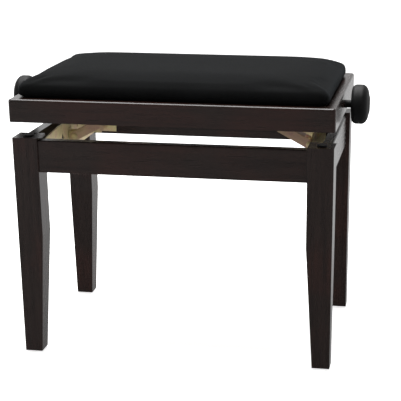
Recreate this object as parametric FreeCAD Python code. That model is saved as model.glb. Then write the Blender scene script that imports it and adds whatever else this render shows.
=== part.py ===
import FreeCAD, Part
import math
import os

# Height-adjustable piano bench, in millimetres, +Z up.
# The origin is on the floor under the middle of the seat, X runs along the
# bench and Y from front to rear. The bench is drawn 25 mm above its lowest setting.

V = FreeCAD.Vector
X_AXIS, Y_AXIS, Z_AXIS = V(1, 0, 0), V(0, 1, 0), V(0, 0, 1)

# Stand: four tapered legs and four rails
STAND_X = 273.0            # centre to the legs' outer faces, along the bench
STAND_Y = 173.0            # centre to the legs' outer faces, front to rear
LEG_TOP = 390.0
LEG_BOTTOM = 3.0           # the wood ends here, on a glide
LEG_SIZE = 44.0
LEG_FOOT = 31.0            # square left at the foot by the two tapered inner faces
TAPER_TOP = 218.0          # height at which the taper starts
LEG_EDGE = 1.2             # rounding of the long edges
RAIL_TOP = 386.0
RAIL_BOTTOM = 330.5
RAIL_THICK = 18.0
RAIL_SETBACK = 3.0         # front and rear rails' faces behind the legs' faces
SIDE_SETBACK = 6.5         # the same at the two ends
RAIL_EDGE = 2.5            # rounding of a rail's outer edges
TENON_THICK = 8.0
TENON_LONG = 20.0
TENON_SHOULDER = 6.0       # wood above and below a tenon

# Small parts on the legs
GLIDE_R = 9.0
GLIDE_EDGE = 1.2
NAIL_R = 1.5
NAIL_LONG = 14.0
PAD_R = 8.5                # pads the seat frame lands on
PAD_HIGH = 2.0

# Seat frame, board and cushion
SEAT_X = 275.0
SEAT_Y = 178.0
SEAT_BOTTOM = 417.7
SEAT_TOP = 456.2
SEAT_RAIL = 24.0
SEAT_CORNER = 6.0          # rounding of the frame's upright corners
SEAT_EDGE = 4.5            # rounding of the frame's top edge
REBATE_WIDE = 5.0
BOARD_THICK = 10.0
# the cushion's widest outline, and how far its sections are inset at each height
CUSHION_X = 268.5
CUSHION_Y = 165.5
CUSHION_CORNER = 31.0
CUSHION_FOOT = ((5.5, SEAT_TOP), (1.5, 459.5), (0.2, 463.0))
CUSHION_SHOULDER = (24.0, 20.5, 467.0)     # width, height and start of the rounded shoulder
SHOULDER_ANGLES = (0, 15, 30, 45, 60, 75)
CUSHION_CROWN = (132.0, 9.6)               # width and rise of the crowned top
CROWN_STEPS = (0.08, 0.2, 0.35, 0.55, 0.8, 1.0)

# Lifting gear: two arms on a spindle with opposite threads, two links per arm
PIVOT_X = 214.0            # centre to the fixed pivots
SPINDLE_Z = 431.5
ARM_LONG = 151.2           # lower pivot to nut
ARM_ANGLE = 28.4           # above the horizontal
RISE = ARM_LONG * math.sin(math.radians(ARM_ANGLE))
PIVOT_Z = SPINDLE_Z - RISE
LINK_LONG = ARM_LONG / 2.0
ARM_HALF = 8.25            # half the height of an arm
ARM_WIDE = 13.0            # spindle axis to an arm's outer face
ARM_SHEET = 2.0
ARM_BEND = 1.5             # outer bend radius of the channel
ARM_WEB = (14.0, 100.0)    # where the channel's web starts and ends along the arm
LINK_HALF = 7.5
LINK_FACE = 13.3           # spindle axis to a link's inner face
LINK_THICK = 2.0
PIN_R = 4.0
RUN = 0.08                 # radial clearance of a running fit
HEAD_R = 6.0
HEAD_THICK = 1.5
HEAD_GAP = 0.3

# Bracket between the front and rear rails that carries an arm
SHEET = 2.5
BASE_X = 228.0             # outer face, against the legs
BASE_BOTTOM = 332.0
BASE_END_TOP = 382.0        # the top edge slopes up from the ends to BASE_TOP
BASE_TOP = 388.0
BASE_TOP_HALF = 70.0
TAB_TOP = 348.0
TAB_X = 181.0              # inner end of the long part of an end tab
TAB_STEP_X = 211.0         # inner end of its deep part
TAB_BOTTOM = 335.5
EAR_Y = (7.8, 10.3)        # the two ears inside an arm's channel
EAR_R = 8.5
BASE_HOLE_R = 3.5
BASE_HOLES = ((0.0, 374.0), (43.0, 368.0))
WINDOW = ((-52.0, 361.0), (-34.0, 361.0), (-43.0, 377.0))   # three-cornered hole
BASE_SCREWS = ((202.5, 341.8), (218.5, 338.5))              # X and Z on each tab

# Bracket inside each end rail of the seat
BRACKET_HALF = 45.0
BRACKET_Z = (421.0, 443.0)
BRACKET_EAR = 15.6         # spindle axis to an ear's inner face
BRACKET_HOLE_R = 8.0
BRACKET_SCREWS = ((34.0, 426.0), (34.0, 438.0))             # Y and Z
STUB_INNER = 11.5          # inner end of a seat pivot

SCREW_R = 2.0
SCREW_HEAD_R = 4.0
SCREW_HEAD = 2.2
SCREW_LONG = 13.0          # length in the wood

# Nuts, spindle, bushes and knobs
NUT_HALF = (10.0, 10.6, 9.0)
TRUNNION_END = 14.8
CLIP = (13.3, 14.1, 6.0)   # inner face, outer face, radius
SPINDLE_R = 5.0
SPINDLE_HALF = 309.0
SPINDLE_CHAMFER = 1.0
BUSH_R = 8.0               # in the rail
BUSH_NOSE_R = 6.75
BUSH_NOSE_X = 285.4
KNOB_X = (286.0, 317.0)    # inner and outer face of the right knob
LEFT_KNOB_OUT = 6.0        # the left knob sits this much further out
KNOB_R = 34.0
KNOB_SIDE = 9.0            # rounding of the knob's inner rim
KNOB_WIDEST = 17.0         # thickness up to where the dome starts
KNOB_DOME = ((7.5, 2.6), (3.2, 9.0), (0.9, 19.0))   # in from the outer face, down from the rim
GRUB_R = 2.5
GRUB_DEPTH = 1.0           # grub screw's end below the knob's rim


def box(x0, x1, y0, y1, z0, z1):
    """Block between two opposite corners, given in any order."""
    low = V(min(x0, x1), min(y0, y1), min(z0, z1))
    high = V(max(x0, x1), max(y0, y1), max(z0, z1))
    return Part.makeBox(high.x - low.x, high.y - low.y, high.z - low.z, low)


def rod(radius, start, end):
    """Cylinder from one point to another."""
    along = end.sub(start)
    return Part.makeCylinder(radius, along.Length, start, along)


def rod_y(radius, x, z, y0, y1):
    """Cylinder across the bench, from y0 to y1."""
    return rod(radius, V(x, y0, z), V(x, y1, z))


def rod_x(radius, y, z, x0, x1):
    """Cylinder along the bench, from x0 to x1."""
    return rod(radius, V(x0, y, z), V(x1, y, z))


def prism(points, along):
    """Flat polygon pushed along a vector."""
    return Part.Face(Part.makePolygon(list(points) + [points[0]])).extrude(along)


def rounded_wire(x0, x1, y0, y1, radius, z):
    """Level rectangle with rounded corners."""
    sharp = ((x0, y0), (x1, y0), (x1, y1), (x0, y1))
    signs = ((1, 1), (-1, 1), (-1, -1), (1, -1))
    edges = []
    half = radius * (1 - math.sqrt(0.5))
    for i, ((x, y), (sx, sy)) in enumerate(zip(sharp, signs)):
        along_x, along_y = V(x + sx * radius, y, z), V(x, y + sy * radius, z)
        first, last = (along_y, along_x) if i % 2 == 0 else (along_x, along_y)
        edges.append(Part.Arc(first, V(x + sx * half, y + sy * half, z), last).toShape())
    sides = [Part.makeLine(edges[i].Vertexes[-1].Point, edges[(i + 1) % 4].Vertexes[0].Point)
             for i in range(4)]
    return Part.Wire([e for pair in zip(edges, sides) for e in pair])


def mirror_x(shape):
    return shape.mirror(V(0, 0, 0), X_AXIS)


def mirror_y(shape):
    return shape.mirror(V(0, 0, 0), Y_AXIS)


def four_corners(shape):
    """A front-left solid and its three mirror images."""
    pair = [shape, mirror_y(shape)]
    return pair + [mirror_x(s) for s in pair]


def edges_where(shape, test):
    """Edges whose two end points both pass the test."""
    return [e for e in shape.Edges if all(test(v.Point) for v in e.Vertexes)]


def close(a, b):
    return abs(a - b) < 1e-4


def save(name, solids):
    """Write one named part, made of one or more separate solids."""
    solids = solids if isinstance(solids, list) else [solids]
    shape = solids[0] if len(solids) == 1 else Part.makeCompound(solids)
    for solid in shape.Solids:
        if not solid.isValid() or solid.Volume <= 0:
            raise ValueError(name + " is not a sound solid")
    shape.exportStep("parts/" + name + ".step")


# ---------------------------------------------------------------- stand

def tenon_z():
    """Lowest and highest point of a tenon."""
    return RAIL_BOTTOM + TENON_SHOULDER, RAIL_TOP - TENON_SHOULDER


def cross_tenon(x_from, x_to):
    """Tenon on the front rail, between two X positions."""
    middle = -(STAND_Y - RAIL_SETBACK - RAIL_THICK / 2)
    return box(x_from, x_to, middle - TENON_THICK / 2, middle + TENON_THICK / 2, *tenon_z())


def side_tenon(y_from, y_to):
    """Tenon on the left rail, between two Y positions."""
    middle = -(STAND_X - SIDE_SETBACK - RAIL_THICK / 2)
    return box(middle - TENON_THICK / 2, middle + TENON_THICK / 2, y_from, y_to, *tenon_z())


def leg():
    """Front left leg: outer faces upright, inner faces tapered, two mortises."""
    x, y = -STAND_X, -STAND_Y
    sections = ((LEG_BOTTOM, LEG_FOOT), (TAPER_TOP, LEG_SIZE), (LEG_TOP, LEG_SIZE))
    wires = [rounded_wire(x, x + size, y, y + size, LEG_EDGE, z) for z, size in sections]
    body = Part.makeLoft(wires, True, True)
    inner_x, inner_y = x + LEG_SIZE, y + LEG_SIZE
    body = body.cut(cross_tenon(inner_x - TENON_LONG, inner_x))
    body = body.cut(side_tenon(inner_y - TENON_LONG, inner_y))
    return body.cut(glide_nail())


def foot_centre():
    return -STAND_X + LEG_FOOT / 2, -STAND_Y + LEG_FOOT / 2


def glide_nail():
    x, y = foot_centre()
    return rod(NAIL_R, V(x, y, LEG_BOTTOM), V(x, y, LEG_BOTTOM + NAIL_LONG))


def glide():
    """Round foot on a nail, its lower edge rounded."""
    x, y = foot_centre()
    disc = rod(GLIDE_R, V(x, y, 0), V(x, y, LEG_BOTTOM))
    disc = disc.makeFillet(GLIDE_EDGE, [e for e in disc.Edges if close(e.BoundBox.ZMax, 0)])
    return disc.fuse(glide_nail())


def leg_pad():
    """Round pad on top of a leg."""
    x, y = -STAND_X + LEG_SIZE / 2, -STAND_Y + LEG_SIZE / 2
    return rod(PAD_R, V(x, y, LEG_TOP), V(x, y, LEG_TOP + PAD_HIGH))


def stand_rail(x0, x1, y0, y1, outer_edge):
    """Plain rail with the two long edges of its outer face rounded."""
    body = box(x0, x1, y0, y1, RAIL_BOTTOM, RAIL_TOP)
    edges = [e for e in edges_where(body, outer_edge) if e.Length > RAIL_TOP - RAIL_BOTTOM + 1]
    return body.makeFillet(RAIL_EDGE, edges)


def front_rail():
    """Front rail with a tenon at each end, drilled for the bracket screws."""
    half, outer = STAND_X - LEG_SIZE, STAND_Y - RAIL_SETBACK
    rail = stand_rail(-half, half, -outer, -outer + RAIL_THICK, lambda p: close(p.y, -outer))
    rail = rail.fuse([cross_tenon(s * half, s * (half + TENON_LONG)) for s in (-1, 1)])
    return rail.cut([s for s in base_screws() if s.BoundBox.YMax < 0])


def left_rail():
    """Left rail with a tenon at each end."""
    half, outer = STAND_Y - LEG_SIZE, STAND_X - SIDE_SETBACK
    rail = stand_rail(-outer, -outer + RAIL_THICK, -half, half, lambda p: close(p.x, -outer))
    return rail.fuse([side_tenon(s * half, s * (half + TENON_LONG)) for s in (-1, 1)])


# ---------------------------------------------------------------- base brackets

def screw_y(x, z, face, out):
    """Screw driven across the bench: pan head on a face, shank in the wood behind it."""
    head = rod_y(SCREW_HEAD_R, x, z, face - out * SCREW_HEAD, face)
    return head.fuse(rod_y(SCREW_R, x, z, face, face + out * (SHEET + SCREW_LONG)))


def base_screws():
    """Screws through the end tabs of both base brackets."""
    face = STAND_Y - RAIL_SETBACK - RAIL_THICK - SHEET
    return [screw_y(sx * x, z, sy * face, sy) for sx in (-1, 1) for sy in (-1, 1)
            for x, z in BASE_SCREWS]


def base_bracket():
    """Left bracket: upright web, folded end tabs, two ears for the arm."""
    inner = BASE_X - SHEET
    wall = STAND_Y - RAIL_SETBACK - RAIL_THICK
    half = ((wall, BASE_BOTTOM), (wall, BASE_END_TOP), (BASE_TOP_HALF, BASE_TOP))
    outline = list(half) + [(-y, z) for y, z in reversed(half)]
    web = prism([V(-BASE_X, y, z) for y, z in outline], V(SHEET, 0, 0))
    for y, z in BASE_HOLES:
        web = web.cut(rod_x(BASE_HOLE_R, y, z, -BASE_X, -inner))
    web = web.cut(prism([V(-BASE_X, y, z) for y, z in WINDOW], V(SHEET, 0, 0)))
    tab_outline = ((-BASE_X, BASE_BOTTOM), (-TAB_STEP_X, BASE_BOTTOM), (-TAB_STEP_X, TAB_BOTTOM),
                   (-TAB_X, TAB_BOTTOM), (-TAB_X, TAB_TOP), (-BASE_X, TAB_TOP))
    tab = prism([V(x, wall - SHEET, z) for x, z in tab_outline], V(0, SHEET, 0))
    ear = box(-inner, -PIVOT_X, EAR_Y[0], EAR_Y[1], PIVOT_Z - EAR_R, PIVOT_Z + EAR_R)
    ear = ear.fuse(rod_y(EAR_R, -PIVOT_X, PIVOT_Z, *EAR_Y))
    body = web.fuse([tab, mirror_y(tab), ear, mirror_y(ear)]).removeSplitter()
    return body.cut([arm_pin()] + base_screws())


# ---------------------------------------------------------------- arms and links

def headed_pin(x, z, head_face):
    """Pin across the bench with a flat head outside each end face."""
    end = head_face + HEAD_THICK
    pin = rod_y(PIN_R, x, z, -end, end)
    heads = [rod_y(HEAD_R, x, z, s * head_face, s * end) for s in (-1, 1)]
    return pin.fuse(heads).removeSplitter()


def arm_pin():
    """Lower pivot of the left arm."""
    return headed_pin(-PIVOT_X, PIVOT_Z, ARM_WIDE + HEAD_GAP)


def arm_point(distance):
    """Point on the left arm's centre line, measured from its lower pivot."""
    angle = math.radians(ARM_ANGLE)
    return V(-PIVOT_X + distance * math.cos(angle), 0, PIVOT_Z + distance * math.sin(angle))


def arm():
    """Left arm: pressed channel, its web cut back at both ends."""
    channel = box(ARM_WEB[0], ARM_WEB[1], -ARM_WIDE, ARM_WIDE, -ARM_HALF, ARM_HALF)
    bends = [e for e in edges_where(channel, lambda p: close(p.z, ARM_HALF))
             if e.Length > ARM_HALF * 4]
    channel = channel.makeFillet(ARM_BEND, bends)
    inside = ARM_WIDE - ARM_SHEET
    channel = channel.cut(box(0, ARM_LONG, -inside, inside, -ARM_HALF, ARM_HALF - ARM_SHEET))
    flanges = []
    for side in (-1, 1):
        inner, outer = side * inside, side * ARM_WIDE
        for start, end in ((0, ARM_WEB[0]), (ARM_WEB[1], ARM_LONG)):
            flanges.append(box(start, end, inner, outer, -ARM_HALF, ARM_HALF))
        flanges += [rod_y(ARM_HALF, x, 0, inner, outer) for x in (0, ARM_LONG)]
    body = channel.fuse(flanges).removeSplitter()
    for x, radius in ((0, PIN_R + RUN), (LINK_LONG, PIN_R), (ARM_LONG, PIN_R + RUN)):
        body = body.cut(rod_y(radius, x, 0, -ARM_WIDE, ARM_WIDE))
    body.rotate(V(0, 0, 0), Y_AXIS, -ARM_ANGLE)
    body.translate(V(-PIVOT_X, 0, PIVOT_Z))
    return body


def link_pin():
    """Pin through the middle of the left arm."""
    middle = arm_point(LINK_LONG)
    return headed_pin(middle.x, middle.z, LINK_FACE + LINK_THICK + HEAD_GAP)


def link():
    """Flat link at the rear of the left arm, from its middle to the seat pivot."""
    y0, y1 = LINK_FACE, LINK_FACE + LINK_THICK
    bar = box(0, LINK_LONG, y0, y1, -LINK_HALF, LINK_HALF)
    bar = bar.fuse([rod_y(LINK_HALF, x, 0, y0, y1) for x in (0, LINK_LONG)]).removeSplitter()
    for x in (0, LINK_LONG):
        bar = bar.cut(rod_y(PIN_R + RUN, x, 0, y0, y1))
    bar.rotate(V(0, 0, 0), Y_AXIS, ARM_ANGLE)
    bar.translate(V(-PIVOT_X, 0, SPINDLE_Z))
    return bar


def nut():
    """Left nut: block with a bore for the spindle and two trunnions."""
    centre = arm_point(ARM_LONG)
    hx, hy, hz = NUT_HALF
    block = box(centre.x - hx, centre.x + hx, -hy, hy, centre.z - hz, centre.z + hz)
    block = block.fuse(rod_y(PIN_R, centre.x, centre.z, -TRUNNION_END, TRUNNION_END))
    return block.removeSplitter().cut(rod_x(SPINDLE_R + RUN, 0, centre.z, centre.x - hx,
                                            centre.x + hx))


def nut_clips():
    """Retaining rings on the trunnions of the left nut."""
    centre = arm_point(ARM_LONG)
    ring = rod_y(CLIP[2], centre.x, centre.z, CLIP[0], CLIP[1])
    ring = ring.cut(rod_y(PIN_R, centre.x, centre.z, CLIP[0], CLIP[1]))
    return [ring, mirror_y(ring)]


# ---------------------------------------------------------------- seat

def seat_frame():
    """The frame's outline as one block, with the opening and rebate for the board."""
    block = box(-SEAT_X, SEAT_X, -SEAT_Y, SEAT_Y, SEAT_BOTTOM, SEAT_TOP)
    height = SEAT_TOP - SEAT_BOTTOM
    block = block.makeFillet(SEAT_CORNER, [e for e in block.Edges if close(e.Length, height)])
    top = edges_where(block, lambda p: close(p.z, SEAT_TOP))
    block = block.makeFillet(SEAT_EDGE, top)
    inner_x, inner_y = SEAT_X - SEAT_RAIL, SEAT_Y - SEAT_RAIL
    block = block.cut(box(-inner_x, inner_x, -inner_y, inner_y, SEAT_BOTTOM, SEAT_TOP))
    return block.cut(seat_board())


def seat_board():
    x, y = SEAT_X - SEAT_RAIL + REBATE_WIDE, SEAT_Y - SEAT_RAIL + REBATE_WIDE
    return box(-x, x, -y, y, SEAT_TOP - BOARD_THICK, SEAT_TOP)


def seat_front_rail(frame):
    """Front length of the frame, mitred at both ends."""
    inner_x, inner_y = SEAT_X - SEAT_RAIL, SEAT_Y - SEAT_RAIL
    plan = ((-SEAT_X, -SEAT_Y), (SEAT_X, -SEAT_Y), (inner_x, -inner_y), (-inner_x, -inner_y))
    return frame.common(prism([V(x, y, SEAT_BOTTOM) for x, y in plan],
                              V(0, 0, SEAT_TOP - SEAT_BOTTOM)))


def seat_left_rail(frame):
    """Left end of the frame, mitred, bored for the bush and the bracket's screws."""
    inner_x, inner_y = SEAT_X - SEAT_RAIL, SEAT_Y - SEAT_RAIL
    plan = ((-SEAT_X, -SEAT_Y), (-inner_x, -inner_y), (-inner_x, inner_y), (-SEAT_X, SEAT_Y))
    rail = frame.common(prism([V(x, y, SEAT_BOTTOM) for x, y in plan],
                              V(0, 0, SEAT_TOP - SEAT_BOTTOM)))
    return rail.cut([rod_x(BUSH_R, 0, SPINDLE_Z, -SEAT_X, -inner_x)] + left_bracket_screws())


def cushion_profile():
    """Inset and height of each section: foot, rounded shoulder, crowned top."""
    wide, high, start = CUSHION_SHOULDER
    points = list(CUSHION_FOOT)
    for angle in SHOULDER_ANGLES:
        turn = math.radians(angle)
        points.append((wide * (1 - math.cos(turn)), start + high * math.sin(turn)))
    inset, z = points[-1]
    for step in CROWN_STEPS:
        points.append((inset + CUSHION_CROWN[0] * step,
                       z + CUSHION_CROWN[1] * (1 - (1 - step) ** 2)))
    return points


def cushion():
    """Crowned pad: level rounded rectangles joined from the board up."""
    wires = []
    for inset, z in cushion_profile():
        x, y = CUSHION_X - inset, CUSHION_Y - inset
        wires.append(rounded_wire(-x, x, -y, y, min(CUSHION_CORNER + inset / 3, y * 0.9), z))
    return Part.makeLoft(wires, True, True)


def left_bracket_screws():
    """Screws holding the left seat bracket to the end rail."""
    face = -(SEAT_X - SEAT_RAIL) + SHEET
    screws = []
    for y, z in BRACKET_SCREWS:
        for side in (-1, 1):
            head = rod_x(SCREW_HEAD_R, side * y, z, face, face + SCREW_HEAD)
            shank = rod_x(SCREW_R, side * y, z, face - SHEET - SCREW_LONG, face)
            screws.append(head.fuse(shank))
    return screws


def seat_bracket():
    """Left seat bracket: plate on the end rail with two ears for the links."""
    wall = -(SEAT_X - SEAT_RAIL)
    plate = box(wall, wall + SHEET, -BRACKET_HALF, BRACKET_HALF, *BRACKET_Z)
    y0, y1 = BRACKET_EAR, BRACKET_EAR + SHEET
    ear = box(wall, -PIVOT_X, y0, y1, SPINDLE_Z - EAR_R, SPINDLE_Z + EAR_R)
    ear = ear.fuse(rod_y(EAR_R, -PIVOT_X, SPINDLE_Z, y0, y1))
    body = plate.fuse([ear, mirror_y(ear)]).removeSplitter()
    body = body.cut(rod_x(BRACKET_HOLE_R, 0, SPINDLE_Z, wall, wall + SHEET))
    return body.cut(left_bracket_screws() + seat_pins())


def seat_pins():
    """Short headed pivots between the left seat bracket's ears and the links."""
    end = BRACKET_EAR + SHEET + HEAD_THICK
    inner_head = (STUB_INNER, STUB_INNER + HEAD_THICK)
    pin = rod_y(PIN_R, -PIVOT_X, SPINDLE_Z, STUB_INNER, end)
    pin = pin.fuse([rod_y(HEAD_R, -PIVOT_X, SPINDLE_Z, *inner_head),
                    rod_y(HEAD_R, -PIVOT_X, SPINDLE_Z, end - HEAD_THICK, end)]).removeSplitter()
    return [pin, mirror_y(pin)]


def spindle_bush():
    """Bush in the left end rail, its nose reaching towards the knob."""
    inner = -(SEAT_X - SEAT_RAIL)
    body = rod_x(BUSH_R, 0, SPINDLE_Z, -SEAT_X, inner)
    body = body.fuse(rod_x(BUSH_NOSE_R, 0, SPINDLE_Z, -BUSH_NOSE_X, -SEAT_X))
    return body.cut(rod_x(SPINDLE_R + RUN, 0, SPINDLE_Z, -BUSH_NOSE_X, inner))


# ---------------------------------------------------------------- spindle and knobs

def spindle():
    """Plain rod with both ends chamfered."""
    body = rod_x(SPINDLE_R, 0, SPINDLE_Z, -SPINDLE_HALF - LEFT_KNOB_OUT, SPINDLE_HALF)
    return body.makeChamfer(SPINDLE_CHAMFER, [e for e in body.Edges if e.BoundBox.XLength < 1])


def knob(out):
    """Knob at the left end, moved out: turned disc with a domed outer face and a bore."""
    x0, x1 = -KNOB_X[0] - out, -KNOB_X[1] - out
    rim = KNOB_R - KNOB_SIDE
    start = x0 - KNOB_WIDEST
    half = math.sqrt(0.5)
    path = [Part.makeLine(V(x0, 0, 0), V(x0, rim, 0)),
            Part.Arc(V(x0, rim, 0), V(x0 - KNOB_SIDE * (1 - half), rim + KNOB_SIDE * half, 0),
                     V(x0 - KNOB_SIDE, KNOB_R, 0)).toShape(),
            Part.makeLine(V(x0 - KNOB_SIDE, KNOB_R, 0), V(start, KNOB_R, 0))]
    dome_points = [V(x1 + inward, KNOB_R - down, 0) for inward, down in KNOB_DOME]
    dome = Part.BSplineCurve()
    dome.interpolate([V(start, KNOB_R, 0)] + dome_points + [V(x1, 0, 0)],
                     InitialTangent=V(-1, 0, 0), FinalTangent=V(0, -1, 0))
    path += [dome.toShape(), Part.makeLine(V(x1, 0, 0), V(x0, 0, 0))]
    body = Part.Face(Part.Wire(path)).revolve(V(0, 0, 0), X_AXIS, 360)
    body.translate(V(0, 0, SPINDLE_Z))
    return body.cut([rod_x(SPINDLE_R, 0, SPINDLE_Z, -SPINDLE_HALF - out, x0), knob_grub(out)])


def knob_grub(out):
    """Grub screw that locks that knob, in from its rim to the spindle."""
    x = -(KNOB_X[0] + KNOB_SIDE) - out
    return rod(GRUB_R, V(x, 0, SPINDLE_Z - KNOB_R + GRUB_DEPTH), V(x, 0, SPINDLE_Z - SPINDLE_R))


# ---------------------------------------------------------------- write every part

os.makedirs("parts", exist_ok=True)

knob_grubs = []
for side, flip, knob_out in (("left", lambda s: s, LEFT_KNOB_OUT), ("right", mirror_x, 0.0)):
    save("leg_front_" + side, flip(leg()))
    save("leg_rear_" + side, flip(mirror_y(leg())))
    save("stand_rail_" + side, flip(left_rail()))
    save("base_bracket_" + side, flip(base_bracket()))
    save("arm_pin_" + side, flip(arm_pin()))
    save("arm_" + side, flip(arm()))
    save("link_pin_" + side, flip(link_pin()))
    save("link_" + side + "_front", flip(mirror_y(link())))
    save("link_" + side + "_rear", flip(link()))
    save("nut_" + side, flip(nut()))
    save("nut_clips_" + side, [flip(s) for s in nut_clips()])
    save("seat_bracket_" + side, flip(seat_bracket()))
    save("seat_pins_" + side, [flip(s) for s in seat_pins()])
    save("spindle_bush_" + side, flip(spindle_bush()))
    save("knob_" + side, flip(knob(knob_out)))
    knob_grubs.append(flip(knob_grub(knob_out)))

save("stand_rail_front", front_rail())
save("stand_rail_rear", mirror_y(front_rail()))
save("glides", four_corners(glide()))
save("leg_pads", four_corners(leg_pad()))
save("base_bracket_screws", base_screws())

outline = seat_frame()
save("seat_rail_front", seat_front_rail(outline))
save("seat_rail_rear", mirror_y(seat_front_rail(outline)))
save("seat_rail_left", seat_left_rail(outline))
save("seat_rail_right", mirror_x(seat_left_rail(outline)))
save("seat_board", seat_board())
save("cushion", cushion())
bracket_screws = left_bracket_screws()
save("seat_bracket_screws", bracket_screws + [mirror_x(s) for s in bracket_screws])
save("spindle", spindle())
save("knob_grub_screws", knob_grubs)
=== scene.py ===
import math

import bpy
import numpy as np
from mathutils import Matrix, Vector


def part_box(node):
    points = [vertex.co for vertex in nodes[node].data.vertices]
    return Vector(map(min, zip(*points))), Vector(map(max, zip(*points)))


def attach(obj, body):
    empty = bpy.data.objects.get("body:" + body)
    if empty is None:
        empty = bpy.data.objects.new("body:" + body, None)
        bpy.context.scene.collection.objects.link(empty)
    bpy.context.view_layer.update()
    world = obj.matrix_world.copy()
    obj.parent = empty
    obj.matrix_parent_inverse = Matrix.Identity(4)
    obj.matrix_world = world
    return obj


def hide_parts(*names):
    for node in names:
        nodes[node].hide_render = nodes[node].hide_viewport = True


# Height-adjustable piano bench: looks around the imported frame, in metres.

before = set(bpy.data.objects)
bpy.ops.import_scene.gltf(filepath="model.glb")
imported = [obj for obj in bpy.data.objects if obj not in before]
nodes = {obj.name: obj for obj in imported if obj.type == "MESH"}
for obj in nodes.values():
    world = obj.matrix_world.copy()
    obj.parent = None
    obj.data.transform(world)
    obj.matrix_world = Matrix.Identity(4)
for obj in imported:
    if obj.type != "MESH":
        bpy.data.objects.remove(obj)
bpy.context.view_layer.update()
TURN = 2.0 * math.pi

# Camera
CAMERA_AT = (0.4538, -2.1056, 0.8363)
CAMERA_YAW, CAMERA_PITCH, CAMERA_ROLL = -0.1644, -0.3370, -0.0012
CAMERA_LENS, CAMERA_SENSOR = 109.45, 36.0
CAMERA_SHIFT = (-0.1214, 0.2096)

# Light
SOFTBOX_AT = (-0.25, 0.55, 2.35)
SOFTBOX_SIZE = (1.9, 2.3)
SOFTBOX_POWER = 105.0
FLOOR_HALF = 30.0
FLOOR_GLOW = 0.80                       # a lit table: keeps the floor white round the legs
BACKDROP = 1.3                          # plain white behind the bench
ROOM_STEPS = (                          # direction, step from, step to, value before, value after
    ("Y", -0.3, 0.8, 0.30, 1.30),       # dark in front, bright behind
    ("Z", -0.50, -0.20, 0.25, 1.0),     # darker well under the horizon
    ("Z", -0.05, 0.25, 1.0, 0.60),      # and over it
    ("X", -0.40, 0.0, 1.45, 0.85))      # brighter towards the left

# Padded top
PAD_HALF = (0.2650, 0.1650)
PAD_SHIFT = -0.0022                     # the pad lies a little to the left on the frame
PAD_CORNER = 0.018                      # corner radius at the foot
PAD_CORNER_GROWTH = 0.9                 # how much it grows for each metre of inset
PAD_FOOT = 0.0075                       # height of the foot that is tucked under
PAD_SHOULDER = (0.022, 0.0205)          # width and height of the rounded shoulder
PAD_ROUND = 0.72                        # 1 is a quarter ellipse, less is squarer
PAD_CROWN = 0.062                       # how far the top keeps rising inwards
PAD_FLAT = 0.03                         # width of the level part inside the crown's edge
PAD_ROOM = 0.0026                       # height left free for the swelling
PAD_SIDE_POINTS = 48

# Cloth over the pad
CLOTH_VOXEL = 0.005
CLOTH_FRAMES = 20
CLOTH_PRESSURE = 4.0
CLOTH_STIFFNESS = 25.0
CLOTH_BENDING = 1.5
CLOTH_HELD = 0.003                      # height of the foot that stays put
CLOTH_TRAVEL = (0.0008, 0.0020)         # most that a point may move sideways and up or down
CLOTH_SMOOTHING = 3

# Folds at the pad's lower corners
FOLD_DEPTH = 0.0007
FOLD_COUNT = 18.0                       # folds in a full turn
FOLD_HEIGHT = 0.022
FOLD_SIDES = (0.1, 0.4)                 # angle over which they fade in from both sides

# Spindle
THREAD_LEAD = 0.003
THREAD_DEPTH = 0.0009
THREAD_FROM, THREAD_TO = 0.052, 0.182
THREAD_STEP = 0.0005
THREAD_FLANK, THREAD_FLAT = 1.7, 0.35   # steepness of the flanks, share cut off at root and crest
THREAD_FADE = 0.004                     # run-out at both ends of each thread
SPINDLE_END, SPINDLE_CHAMFER = 0.001, 0.0008
SPINDLE_SIDES = 28

# Fasteners
SCREW_HEAD = 0.0022                     # height of a screw's head
SCREW_RECESS = 0.0011                   # depth of its cross recess
SCREW_SLOT = (0.0003, 0.0007)           # half width of a slot, at its floor and at the face
SCREW_SPAN = (0.0017, 0.0023)           # half length of a slot, likewise
SCREW_SIDES = 40
PIN_RADIUS = 0.004
PIN_HEAD = 0.0015                       # height of a pin's domed head
PIN_SIDES = 32


# ---------------------------------------------------------------- finishes

class Number:
    """A number socket; arithmetic on it adds Math nodes."""

    def __init__(self, finish, socket):
        self.finish, self.socket = finish, socket

    def _math(self, operation, *values):
        made = self.finish.node("ShaderNodeMath", {"operation": operation},
                                dict(enumerate(values)))
        return Number(self.finish, made.outputs[0])

    def __add__(self, other):
        return self._math("ADD", self, other)

    def __sub__(self, other):
        return self._math("SUBTRACT", self, other)

    def __rsub__(self, other):
        return self._math("SUBTRACT", other, self)

    def __mul__(self, other):
        return self._math("MULTIPLY", self, other)

    __radd__, __rmul__ = __add__, __mul__

    def between(self, low, high):
        """0 below low, 1 above high, a smooth step between them."""
        made = self.finish.node("ShaderNodeMapRange", {"interpolation_type": "SMOOTHSTEP"},
                                {"Value": self, "From Min": low, "From Max": high})
        return Number(self.finish, made.outputs[0])


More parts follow.
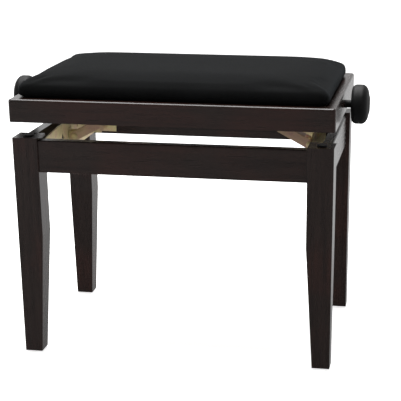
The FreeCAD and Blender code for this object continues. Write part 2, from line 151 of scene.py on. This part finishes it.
class Finish:
    """One material: its shader and the nodes that feed it."""

    def __init__(self, name, constants):
        self.material = bpy.data.materials.new(name)
        self.material.use_nodes = True
        self.tree = self.material.node_tree
        self.shader = self.tree.nodes["Principled BSDF"]
        for socket, value in constants.items():
            self.shader.inputs[socket].default_value = value

    def node(self, kind, settings=None, inputs=None):
        """A node of any kind: its settings first, then the values or links of its sockets."""
        made = self.tree.nodes.new(kind)
        for name, value in (settings or {}).items():
            if name == "stops":
                while len(made.color_ramp.elements) < len(value):
                    made.color_ramp.elements.new(1.0)
                for element, (place, colour) in zip(made.color_ramp.elements, value):
                    element.position, element.color = place, (*colour, 1.0)
            else:
                setattr(made, name, value)
        for key, value in (inputs or {}).items():
            self.feed(made.inputs[key], value)
        return made

    def feed(self, socket, value):
        value = value.socket if isinstance(value, Number) else value
        if isinstance(value, bpy.types.NodeSocket):
            self.tree.links.new(value, socket)
        else:
            socket.default_value = value

    def place(self, stretch=(1.0, 1.0, 1.0), shift=(0.0, 0.0, 0.0)):
        """Object coordinates, scaled and then moved."""
        at = self.node("ShaderNodeTexCoord").outputs["Object"]
        return self.node("ShaderNodeMapping", None,
                         {"Vector": at, "Location": shift, "Scale": stretch}).outputs[0]

    def noise(self, where, size, detail=2.0, rough=0.5):
        made = self.node("ShaderNodeTexNoise", None, {"Vector": where, "Scale": 1.0 / size,
                                                      "Detail": detail, "Roughness": rough})
        return Number(self, made.outputs["Fac"])

    def mix(self, share, first, second):
        """Colour between two colours."""
        made = self.node("ShaderNodeMix", {"data_type": "RGBA"},
                         {0: share, 6: colour(first), 7: colour(second)})
        return made.outputs[2]

    def ramp(self, value, stops):
        return self.node("ShaderNodeValToRGB", {"stops": stops}, {"Fac": value}).outputs["Color"]

    def bump(self, height, distance, strength=1.0):
        made = self.node("ShaderNodeBump", None, {"Height": height, "Distance": distance,
                                                  "Strength": strength})
        self.feed(self.shader.inputs["Normal"], made.outputs["Normal"])

    def wear(self, **looks):
        """Feed shader sockets by name, such as base_color."""
        for name, value in looks.items():
            self.feed(self.shader.inputs[name.replace("_", " ").title()], value)
        return self.material


def colour(value):
    """A tuple of three gets its alpha; anything else stays as it is."""
    return (*value, 1.0) if isinstance(value, tuple) else value


def stained_wood(name, grain, shift):
    """Mahogany stain under satin lacquer.

    Fibre streaks and fine pores run along one axis, and broad clouds turn the stain redder.
    """
    finish = Finish(name, {"IOR": 1.5, "Coat Weight": 0.0})
    fibres, pores = [1.0] * 3, [1.0] * 3
    fibres[grain], pores[grain] = 0.05, 0.03
    streak = finish.noise(finish.place(fibres, shift), 0.007, 4.0, 0.6)
    pore = finish.noise(finish.place(pores, shift), 0.0013, 2.0).between(0.60, 0.72)
    cloud = finish.noise(finish.place((1.0, 1.0, 1.0), shift), 0.11, 2.0).between(0.42, 0.66)
    body = finish.mix(cloud, (0.0165, 0.0098, 0.0082), (0.0235, 0.0094, 0.0072))
    body = finish.mix(streak.between(0.35, 0.85), body, (0.0090, 0.0052, 0.0045))
    body = finish.mix(pore * 0.55, body, (0.0035, 0.0024, 0.0022))
    ripple = finish.noise(finish.place(), 0.0045, 1.0)
    finish.bump(ripple * 0.6 + streak * 0.25 - pore * 0.25, 0.00005, 0.5)
    return finish.wear(base_color=body, roughness=0.19 + streak * 0.07 + pore * 0.1)


def plywood():
    """Dark stained plywood: fibre streaks along the bench and open pores."""
    finish = Finish("stained_plywood", {"IOR": 1.45})
    figure = finish.noise(finish.place((0.06, 1.0, 1.0)), 0.012, 4.0, 0.6)
    fine = finish.noise(finish.place((0.03, 1.0, 1.0)), 0.0012, 2.0)
    body = finish.ramp(figure, [(0.3, (0.030, 0.017, 0.012)), (0.55, (0.048, 0.028, 0.019)),
                                (0.75, (0.024, 0.013, 0.010))])
    finish.bump(fine, 0.00008, 0.5)
    body = finish.mix(fine.between(0.55, 0.75), body, (0.011, 0.007, 0.006))
    return finish.wear(base_color=body, roughness=0.55 + fine * 0.15)


def velour():
    """Black velour: short pile with a soft sheen, brushed lighter and darker in broad patches."""
    finish = Finish("black_velour_pile", {"IOR": 1.4, "Specular IOR Level": 0.07,
                                          "Sheen Weight": 0.024, "Sheen Roughness": 0.45,
                                          "Sheen Tint": (0.78, 0.89, 1.0, 1.0)})
    nap = finish.noise(finish.place((1.0, 2.2, 1.0)), 0.075, 3.0, 0.55)
    pile = finish.noise(finish.place(), 0.0011, 3.0, 0.7)
    rows = finish.noise(finish.place((0.3, 1.0, 1.0)), 0.0035, 2.0)
    body = finish.mix(nap.between(0.3, 0.7), (0.0021, 0.0022, 0.0022), (0.0034, 0.0035, 0.0036))
    body = finish.mix(pile.between(0.35, 0.75), body, (0.0054, 0.0055, 0.0056))
    finish.bump(pile + rows * 0.5 + nap * 0.6, 0.0006, 0.55)
    return finish.wear(base_color=body, roughness=0.82 + pile * 0.15)


def yellow_zinc(name, stretch, tint):
    """Yellow passivated zinc on pressed steel: khaki gold drifting to rose and green."""
    finish = Finish(name, {"Metallic": 0.6, "IOR": 1.5})
    drift = finish.noise(finish.place(stretch), 0.022, 3.0, 0.6)
    fine = finish.noise(finish.place(), 0.0025, 3.0, 0.6)
    rolled = finish.noise(finish.place((0.08, 1.0, 1.0)), 0.0012, 2.0)
    tones = ((0.30, (0.47, 0.40, 0.21)), (0.44, (0.62, 0.54, 0.30)), (0.56, (0.60, 0.47, 0.29)),
             (0.66, (0.50, 0.35, 0.26)), (0.80, (0.44, 0.45, 0.28)))
    tinted = [(place, tuple(np.multiply(tone, tint).tolist())) for place, tone in tones]
    body = finish.ramp(drift + (fine - 0.5) * 0.25, tinted)
    finish.bump(fine + rolled * 0.6, 0.0001, 0.5)
    return finish.wear(base_color=body, roughness=0.30 + drift * 0.12 + fine * 0.12)


def steel(name, body, rough):
    """Machined steel, duller in patches, with turning marks round the bench's long axis."""
    finish = Finish(name, {"Metallic": 1.0})
    turned = finish.noise(finish.place((1.0, 0.05, 0.05)), 0.0007, 2.0)
    dull = finish.noise(finish.place(), 0.012, 3.0)
    finish.bump(turned, 0.00004, 0.5)
    duller = tuple(0.72 * part for part in body)
    return finish.wear(base_color=finish.mix(dull.between(0.4, 0.75), body, duller),
                       roughness=rough + dull * 0.12 + turned * 0.06)


def plastic(name, body, rough, pit):
    """Moulded black plastic with a fine spark-eroded skin and faint handling marks."""
    finish = Finish(name, {"IOR": 1.5, "Specular IOR Level": 0.18})
    grain = finish.noise(finish.place(), pit, 2.0)
    marks = finish.noise(finish.place(), 0.018, 4.0, 0.6)
    finish.bump(grain, 0.00005, 0.5)
    lighter = tuple(1.6 * part for part in body)
    return finish.wear(base_color=finish.mix(marks.between(0.45, 0.8), body, lighter),
                       roughness=rough + marks * 0.1 + grain * 0.05)


def felt():
    """Pressed black felt."""
    finish = Finish("black_felt", {"Specular IOR Level": 0.2, "Sheen Weight": 0.3,
                                   "Sheen Roughness": 0.6})
    hair = finish.noise(finish.place(), 0.0009, 4.0, 0.75)
    finish.bump(hair, 0.0005, 0.8)
    body = finish.mix(hair.between(0.35, 0.75), (0.006, 0.006, 0.006), (0.022, 0.021, 0.021))
    return finish.wear(base_color=body, roughness=0.9 + hair * 0.08)


def dress(piece, material):
    """Give every material slot of a piece, or its bare mesh, one finish."""
    if not piece.material_slots:
        piece.data.materials.append(material)
    for held in piece.material_slots:
        held.material = material


# ---------------------------------------------------------------- shapes

def skin(name, shells, crease=35.0):
    """One object from closed shells of rows of points.

    Neighbouring rows are joined by quads, which wrap round, and each end row becomes a face.
    """
    points, faces, start = [], [], 0
    for rows in shells:
        count, around = rows.shape[:2]
        i, j = np.meshgrid(np.arange(count - 1), np.arange(around), indexing="ij")
        right = (j + 1) % around
        quads = np.stack([i * around + j, i * around + right,
                          (i + 1) * around + right, (i + 1) * around + j], -1).reshape(-1, 4)
        ends = [np.arange(around)[::-1], np.arange(around) + (count - 1) * around]
        faces += [(face + start).tolist() for face in (*quads, *ends)]
        points.append(rows.reshape(-1, 3))
        start += count * around
    mesh = bpy.data.meshes.new(name)
    mesh.from_pydata(np.concatenate(points).tolist(), [], faces)
    if volume(mesh) < 0:
        mesh.flip_normals()
    mesh.shade_smooth()
    mesh.set_sharp_from_angle(angle=math.radians(crease))
    made = bpy.data.objects.new(name, mesh)
    bpy.context.scene.collection.objects.link(made)
    return made


def volume(mesh):
    """Signed volume: the sum of a . (b x c) over the triangles, divided by six."""
    mesh.calc_loop_triangles()
    corners = np.empty(len(mesh.loop_triangles) * 3, np.int32)
    mesh.loop_triangles.foreach_get("vertices", corners)
    a, b, c = points_of(mesh)[corners.reshape(-1, 3)].transpose(1, 0, 2)
    return float(np.einsum("ij,ij->", a, np.cross(b, c)) / 6.0)


def points_of(mesh):
    """A mesh's points, one row each."""
    flat = np.empty(len(mesh.vertices) * 3, np.float32)
    mesh.vertices.foreach_get("co", flat)
    return flat.reshape(-1, 3).astype(float)


def smooth_step(value, low, high):
    """0 below low, 1 above high, and 3 t^2 - 2 t^3 between them."""
    t = np.clip((value - low) / (high - low), 0.0, 1.0)
    return t * t * (3.0 - 2.0 * t)


def solid_boxes(node):
    """Lowest and highest corner of each separate solid of a CAD node.

    Corners at the same place are one point; points that share a triangle take the lowest label.
    """
    mesh = nodes[node].data
    places, index = np.unique(np.round(points_of(mesh), 6), axis=0, return_inverse=True)
    corners = np.empty(len(mesh.loops), np.int32)
    mesh.loops.foreach_get("vertex_index", corners)
    triangles = index.reshape(-1)[corners].reshape(-1, 3)
    label, last = np.arange(len(places)), None
    while last is None or (label != last).any():
        last = label.copy()
        np.minimum.at(label, triangles, label[triangles].min(1)[:, None])
    return [(places[label == i].min(0), places[label == i].max(0)) for i in np.unique(label)]


def turned(profile, start, axis, around):
    """Turned form: each (distance along the axis, radius) of the profile swept round the axis."""
    along = np.array(axis, float)
    side = np.roll(np.abs(along), 1)
    other = np.cross(along, side)
    angle = np.arange(around) * TURN / around
    ring = np.cos(angle)[:, None] * side + np.sin(angle)[:, None] * other
    steps, radii = np.array(profile, float).T
    return np.array(start, float) + steps[:, None, None] * along + radii[:, None, None] * ring


def screw_head(low, high):
    """Domed screw head with a cross recess, on the end of a solid's box nearest the bench's middle.

    Height over the face is H sqrt(1 - 0.75 (r / R)^2), less the recess, whose depth falls in a
    smooth step at the sides and ends of its two crossed slots.
    """
    size = high - low
    axis = int(np.argmax(size))
    middle = (low + high) / 2.0
    out = -1.0 if middle[axis] > 0 else 1.0
    radius = size[(axis + 1) % 3] / 2.0
    face = low[axis] if out < 0 else high[axis]
    rings = radius * np.concatenate([np.linspace(0.04, 0.94, 12), [1.0, 1.0, 0.9]])
    angle = np.arange(SCREW_SIDES) * TURN / SCREW_SIDES
    across, up = rings[:, None] * np.cos(angle), rings[:, None] * np.sin(angle)
    height = SCREW_HEAD * np.sqrt(1.0 - 0.75 * np.minimum(rings / radius, 1.0) ** 2)
    height = np.repeat(height[:, None], SCREW_SIDES, 1)
    slot = np.minimum(np.abs(across), np.abs(up))
    reach = np.maximum(np.abs(across), np.abs(up))
    inside = 1.0 - smooth_step(slot, *SCREW_SLOT)
    inside *= 1.0 - smooth_step(reach, *SCREW_SPAN)
    height -= SCREW_RECESS * inside
    height[-2:] = 0.0
    rows = np.empty((len(rings), SCREW_SIDES, 3))
    rows[..., axis] = face - out * SCREW_HEAD + out * height
    rows[..., (axis + 1) % 3] = middle[(axis + 1) % 3] + across
    rows[..., (axis + 2) % 3] = middle[(axis + 2) % 3] + up
    return rows


def riveted_pin(low, high):
    """Pin across the bench with a low domed head at each end, inside its solid's box.

    At the share t of its radius the dome is lower than its top by 0.9 H (1 - sqrt(1 - t^2)).
    """
    middle = (low + high) / 2.0
    head = (high[0] - low[0]) / 2.0
    half = (high[1] - low[1]) / 2.0
    cap = [(-half + 0.9 * PIN_HEAD * (1.0 - math.sqrt(1.0 - t * t)), head * t)
           for t in (0.4, 0.6, 0.8, 1.0)]
    cap = [(-half, 0.2 * head), *cap, (-half + PIN_HEAD, head), (-half + PIN_HEAD, PIN_RADIUS)]
    profile = cap + [(-step, radius) for step, radius in reversed(cap)]
    return turned(profile, middle, (0.0, 1.0, 0.0), PIN_SIDES)


# ---------------------------------------------------------------- padded top

def pad_rows(profile, half, corner):
    """Level rounded rectangles, one per (inset, height) of the profile.

    A point runs round a unit square, is scaled to the half sizes, and near a corner is pulled
    onto the corner's circle: core + radius (p - core) / |p - core|. The radius grows with the
    inset.
    """
    run = np.linspace(-1.0, 1.0, PAD_SIDE_POINTS + 1)[:-1]
    one = np.ones_like(run)
    square = np.concatenate([np.stack(pair, -1) for pair in
                             ((one, run), (-run, one), (-one, -run), (run, -one))])
    rows = np.empty((len(profile), len(square), 3))
    for k, (inset, z) in enumerate(profile):
        sides = np.array(half) - inset
        radius = min(corner + PAD_CORNER_GROWTH * inset, sides.min() * 0.9)
        flat = square * sides
        core = np.clip(flat, radius - sides, sides - radius)
        off = flat - core
        length = np.maximum(np.linalg.norm(off, axis=1, keepdims=True), 1e-9)
        rows[k, :, :2] = core + radius * off / length
        rows[k, :, 2] = z
    return rows


def pad_profile(low, high):
    """Inset and height: flat base, tucked foot, rounded shoulder, then the crown.

    The shoulder is at inset W (1 - cos(a)^n) and height H sin(a)^n, for a from 0 to 80 degrees.
    The crown rises from there as 1 - (1 - t)^2, for t from 0 to 1.
    """
    base = [(0.10, low), (0.05, low), (0.0055, low), (0.0030, low + 0.0010),
            (0.0008, low + 0.0030)]
    turn = np.radians(np.linspace(0.0, 80.0, 9))
    wide, rise = PAD_SHOULDER
    shoulder = [(wide * (1 - math.cos(a) ** PAD_ROUND),
                 low + PAD_FOOT + rise * math.sin(a) ** PAD_ROUND) for a in turn]
    inset, z = shoulder[-1]
    crown = [(inset + PAD_CROWN * t, z + (high - z) * (1 - (1 - t) ** 2))
             for t in (0.08, 0.2, 0.36, 0.55, 0.76, 1.0)]
    return base + shoulder + crown + [(inset + PAD_CROWN + PAD_FLAT, high)]


def plump(pad):
    """Swell the pad with cloth: remesh, pressure, travel capped, result applied and smoothed."""
    scene = bpy.context.scene
    remesh = pad.modifiers.new("even", "REMESH")
    remesh.mode, remesh.voxel_size = "VOXEL", CLOTH_VOXEL
    settle(pad)
    rest = points_of(pad.data)
    foot = rest[:, 2] < rest[:, 2].min() + CLOTH_HELD
    held = pad.vertex_groups.new(name="held")
    held.add(np.flatnonzero(foot).tolist(), 1.0, "REPLACE")
    cloth = pad.modifiers.new("cloth", "CLOTH")
    cloth.settings.vertex_group_mass = "held"
    cloth.settings.use_pressure = True
    cloth.settings.uniform_pressure_force = CLOTH_PRESSURE
    cloth.settings.effector_weights.gravity = 0.0
    cloth.settings.tension_stiffness = CLOTH_STIFFNESS
    cloth.settings.compression_stiffness = CLOTH_STIFFNESS
    cloth.settings.bending_stiffness = CLOTH_BENDING
    cloth.point_cache.frame_end = CLOTH_FRAMES
    for frame_number in range(1, CLOTH_FRAMES + 1):
        scene.frame_set(frame_number)
    settle(pad)
    scene.frame_set(1)
    travel = points_of(pad.data) - rest
    for part, most in ((slice(0, 2), CLOTH_TRAVEL[0]), (slice(2, 3), CLOTH_TRAVEL[1])):
        length = np.linalg.norm(travel[:, part], axis=1, keepdims=True)
        travel[:, part] *= np.minimum(1.0, most / np.maximum(length, 1e-9))
    write_points(pad.data, rest + travel)
    smooth = pad.modifiers.new("smooth", "SMOOTH")
    smooth.factor, smooth.iterations = 0.5, CLOTH_SMOOTHING
    settle(pad)


def settle(piece):
    """Apply a piece's modifiers to its mesh."""
    bpy.context.view_layer.update()
    shown = piece.evaluated_get(bpy.context.evaluated_depsgraph_get())
    done = bpy.data.meshes.new_from_object(shown)
    piece.modifiers.clear()
    piece.data = done


def write_points(mesh, points):
    """Put rows of points back into a mesh."""
    mesh.vertices.foreach_set("co", points.astype(np.float32).ravel())
    mesh.update()


def gather_corners(mesh, low):
    """Small folds at the four lower corners, where the cover is drawn under.

    The push outward is D cos(N a) (1 - h / H)^2, with a the angle round the corner's centre and
    h the height over the seat frame, only within the corner's quarter turn.
    """
    points = points_of(mesh)
    centre = np.array(PAD_HALF) - PAD_CORNER
    flat = points[:, :2] - (PAD_SHIFT, 0.0)
    off = np.abs(flat) - centre
    radius = np.linalg.norm(off, axis=1)
    angle = np.arctan2(off[:, 1], off[:, 0])
    inside = smooth_step(angle, *FOLD_SIDES) * smooth_step(TURN / 4 - angle, *FOLD_SIDES)
    fade = np.clip(1.0 - (points[:, 2] - low) / FOLD_HEIGHT, 0.0, 1.0) ** 2
    near = smooth_step(radius, PAD_CORNER * 0.6, PAD_CORNER * 0.9) * (off > 0).all(1)
    push = FOLD_DEPTH * np.cos(FOLD_COUNT * angle) * inside * fade * near
    way = off / np.maximum(radius, 1e-9)[:, None] * np.sign(flat)
    points[:, :2] += push[:, None] * way
    write_points(mesh, points)


def padded_top():
    """The velour pad: start shape, cloth, corner folds, one subdivision."""
    low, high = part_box("cushion")
    rows = pad_rows(pad_profile(low.z, high.z - PAD_ROOM), PAD_HALF, PAD_CORNER)
    rows[..., 0] += PAD_SHIFT
    pad = skin("padded_top", [rows])
    plump(pad)
    gather_corners(pad.data, low.z)
    pad.data.shade_smooth()
    finer = pad.modifiers.new("finer", "SUBSURF")
    finer.levels = finer.render_levels = 1
    dress(pad, velour())
    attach(pad, "seat")
    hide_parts("cushion")


# ---------------------------------------------------------------- spindle and fasteners

def threaded_spindle():
    """Spindle with a left-hand thread on one half and a right-hand thread on the other.

    Radius is R - D (1 - ridge), where ridge is a clipped triangle wave of x / lead -+ angle / turn,
    faded in and out at the thread's ends. The plain parts keep the radius R, less a small chamfer
    at the spindle's two ends.
    """
    low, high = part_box("spindle")
    radius, middle_z = (high.z - low.z) / 2.0, (high.z + low.z) / 2.0
    fine = np.arange(THREAD_FROM, THREAD_TO + THREAD_STEP / 2, THREAD_STEP)
    chamfer = np.array([SPINDLE_END, SPINDLE_END / 2, 0.0])
    x = np.concatenate([low.x + chamfer[::-1], -fine[::-1], [0.0], fine, high.x - chamfer])
    reach = np.abs(x)[:, None]
    angle = np.arange(SPINDLE_SIDES) * TURN / SPINDLE_SIDES
    phase = reach / THREAD_LEAD - np.sign(x)[:, None] * angle / TURN
    wave = np.abs(2.0 * (phase - np.floor(phase)) - 1.0)
    ridge = np.clip(wave * THREAD_FLANK - THREAD_FLAT, 0.0, 1.0)
    cut = smooth_step(reach, THREAD_FROM, THREAD_FROM + THREAD_FADE)
    cut *= 1.0 - smooth_step(reach, THREAD_TO - THREAD_FADE, THREAD_TO)
    to_end = np.minimum(x - low.x, high.x - x)[:, None]
    round_end = SPINDLE_CHAMFER * (1.0 - np.clip(to_end / SPINDLE_END, 0.0, 1.0))
    r = radius - round_end - THREAD_DEPTH * (1.0 - ridge) * cut
    rows = np.stack([np.broadcast_to(x[:, None], r.shape), r * np.cos(angle),
                     middle_z + r * np.sin(angle)], -1)
    rod = skin("threaded_spindle", [rows], 50.0)
    dress(rod, steel("turned_steel", (0.56, 0.56, 0.55), 0.24))
    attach(rod, "spindle")
    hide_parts("spindle")


def fasteners(name, body, node, shape, finish):
    """One piece with a detailed form in place of each solid of a fastener node."""
    piece = skin(name, [shape(low, high) for low, high in solid_boxes(node)])
    dress(piece, finish)
    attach(piece, body)
    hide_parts(node)


# ---------------------------------------------------------------- stage

def camera():
    """Camera from its place and its yaw, pitch and roll."""
    yaw, pitch, roll = CAMERA_YAW, CAMERA_PITCH, CAMERA_ROLL
    forward = Vector((math.sin(yaw) * math.cos(pitch), math.cos(yaw) * math.cos(pitch),
                      math.sin(pitch)))
    level = Vector((math.cos(yaw), -math.sin(yaw), 0.0))
    right = math.cos(roll) * level + math.sin(roll) * level.cross(forward)
    up = right.cross(forward)
    data = bpy.data.cameras.new("camera")
    data.sensor_width, data.lens = CAMERA_SENSOR, CAMERA_LENS
    data.shift_x, data.shift_y = CAMERA_SHIFT
    made = bpy.data.objects.new("camera", data)
    axes = Matrix((right, up, -forward)).transposed().to_4x4()
    made.matrix_world = Matrix.Translation(CAMERA_AT) @ axes
    bpy.context.scene.collection.objects.link(made)
    bpy.context.scene.camera = made


def softbox():
    """Broad soft light over the bench, pointing straight down."""
    data = bpy.data.lights.new("overhead", "AREA")
    data.shape, data.energy = "RECTANGLE", SOFTBOX_POWER
    data.size, data.size_y = SOFTBOX_SIZE
    made = bpy.data.objects.new("overhead", data)
    made.matrix_world = Matrix.Translation(SOFTBOX_AT)
    bpy.context.scene.collection.objects.link(made)


def floor():
    """Wide pale floor."""
    mesh = bpy.data.meshes.new("floor")
    mesh.from_pydata([(x * FLOOR_HALF, y * FLOOR_HALF, 0.0)
                      for x, y in ((-1, -1), (1, -1), (1, 1), (-1, 1))], [], [(0, 1, 2, 3)])
    made = bpy.data.objects.new("floor", mesh)
    bpy.context.scene.collection.objects.link(made)
    finish = Finish("pale_floor", {"Base Color": (0.9, 0.9, 0.9, 1.0), "Roughness": 0.9,
                                   "Specular IOR Level": 0.1, "Emission Strength": FLOOR_GLOW,
                                   "Emission Color": (1.0, 1.0, 1.0, 1.0)})
    dress(made, finish.material)
    made.visible_glossy = False


def room():
    """Soft white room, seen in reflections, with plain white behind the bench.

    Its brightness is the product of the smooth steps of the direction in ROOM_STEPS.
    """
    world = bpy.data.worlds.new("room")
    world.use_nodes = True
    bpy.context.scene.world = world
    tree = world.node_tree
    tree.nodes.clear()
    out = tree.nodes.new("ShaderNodeOutputWorld")
    glow = tree.nodes.new("ShaderNodeBackground")
    at = tree.nodes.new("ShaderNodeTexCoord")
    split = tree.nodes.new("ShaderNodeSeparateXYZ")
    tree.links.new(at.outputs["Generated"], split.inputs[0])
    strength = None
    for axis, *ends in ROOM_STEPS:
        step = tree.nodes.new("ShaderNodeMapRange")
        step.interpolation_type = "SMOOTHSTEP"
        for socket, value in zip(("From Min", "From Max", "To Min", "To Max"), ends):
            step.inputs[socket].default_value = value
        tree.links.new(split.outputs[axis], step.inputs["Value"])
        if strength is None:
            strength = step.outputs[0]
            continue
        product = tree.nodes.new("ShaderNodeMath")
        product.operation = "MULTIPLY"
        tree.links.new(strength, product.inputs[0])
        tree.links.new(step.outputs[0], product.inputs[1])
        strength = product.outputs[0]
    tree.links.new(strength, glow.inputs["Strength"])
    plain = tree.nodes.new("ShaderNodeBackground")
    plain.inputs["Strength"].default_value = BACKDROP
    direct = tree.nodes.new("ShaderNodeLightPath")
    choice = tree.nodes.new("ShaderNodeMixShader")
    tree.links.new(direct.outputs["Is Camera Ray"], choice.inputs[0])
    tree.links.new(glow.outputs[0], choice.inputs[1])
    tree.links.new(plain.outputs[0], choice.inputs[2])
    tree.links.new(choice.outputs[0], out.inputs[0])


# ---------------------------------------------------------------- put together

# Grain of each wooden piece: 0 along the bench, 1 across it, 2 upright
WOOD = {"leg_front_left": 2, "leg_front_right": 2, "leg_rear_left": 2, "leg_rear_right": 2,
        "stand_rail_front": 0, "stand_rail_rear": 0, "stand_rail_left": 1, "stand_rail_right": 1,
        "seat_rail_front": 0, "seat_rail_rear": 0, "seat_rail_left": 1, "seat_rail_right": 1}
for number, (node, grain) in enumerate(WOOD.items()):
    dress(nodes[node], stained_wood("stained_" + node, grain, (3.7 * number, 1.9 * number, 0.0)))

zinc = yellow_zinc("yellow_zinc_sheet", (1.0, 1.0, 1.0), (1.12, 1.12, 1.12))
zinc_arm = yellow_zinc("yellow_zinc_channel", (0.4, 1.0, 1.0), (0.95, 0.83, 1.0))
for side in ("left", "right"):
    for node in ("base_bracket_" + side, "seat_bracket_" + side, "seat_pins_" + side,
                 "nut_clips_" + side, "link_" + side + "_front", "link_" + side + "_rear"):
        dress(nodes[node], zinc)
    dress(nodes["arm_" + side], zinc_arm)
    dress(nodes["nut_" + side], steel("milled_steel_" + side, (0.52, 0.52, 0.50), 0.3))
    dress(nodes["knob_" + side],
          plastic("knob_plastic_" + side, (0.005, 0.005, 0.005), 0.46, 0.0006))
    dress(nodes["spindle_bush_" + side],
          plastic("bush_plastic_" + side, (0.005, 0.005, 0.005), 0.45, 0.0008))
    fasteners("riveted_arm_pin_" + side, "stand", "arm_pin_" + side, riveted_pin, zinc)
    fasteners("riveted_link_pin_" + side, "arm_" + side, "link_pin_" + side, riveted_pin, zinc)
dress(nodes["seat_board"], plywood())
dress(nodes["glides"], plastic("glide_plastic", (0.012, 0.012, 0.012), 0.5, 0.0007))
dress(nodes["leg_pads"], felt())
dress(nodes["knob_grub_screws"], steel("blackened_steel", (0.07, 0.07, 0.07), 0.38))
fasteners("base_bracket_screw_heads", "stand", "base_bracket_screws", screw_head, zinc)
fasteners("seat_bracket_screw_heads", "seat", "seat_bracket_screws", screw_head, zinc)
threaded_spindle()
padded_top()

room()
floor()
softbox()
camera()
bpy.context.scene.view_settings.view_transform = "Standard"
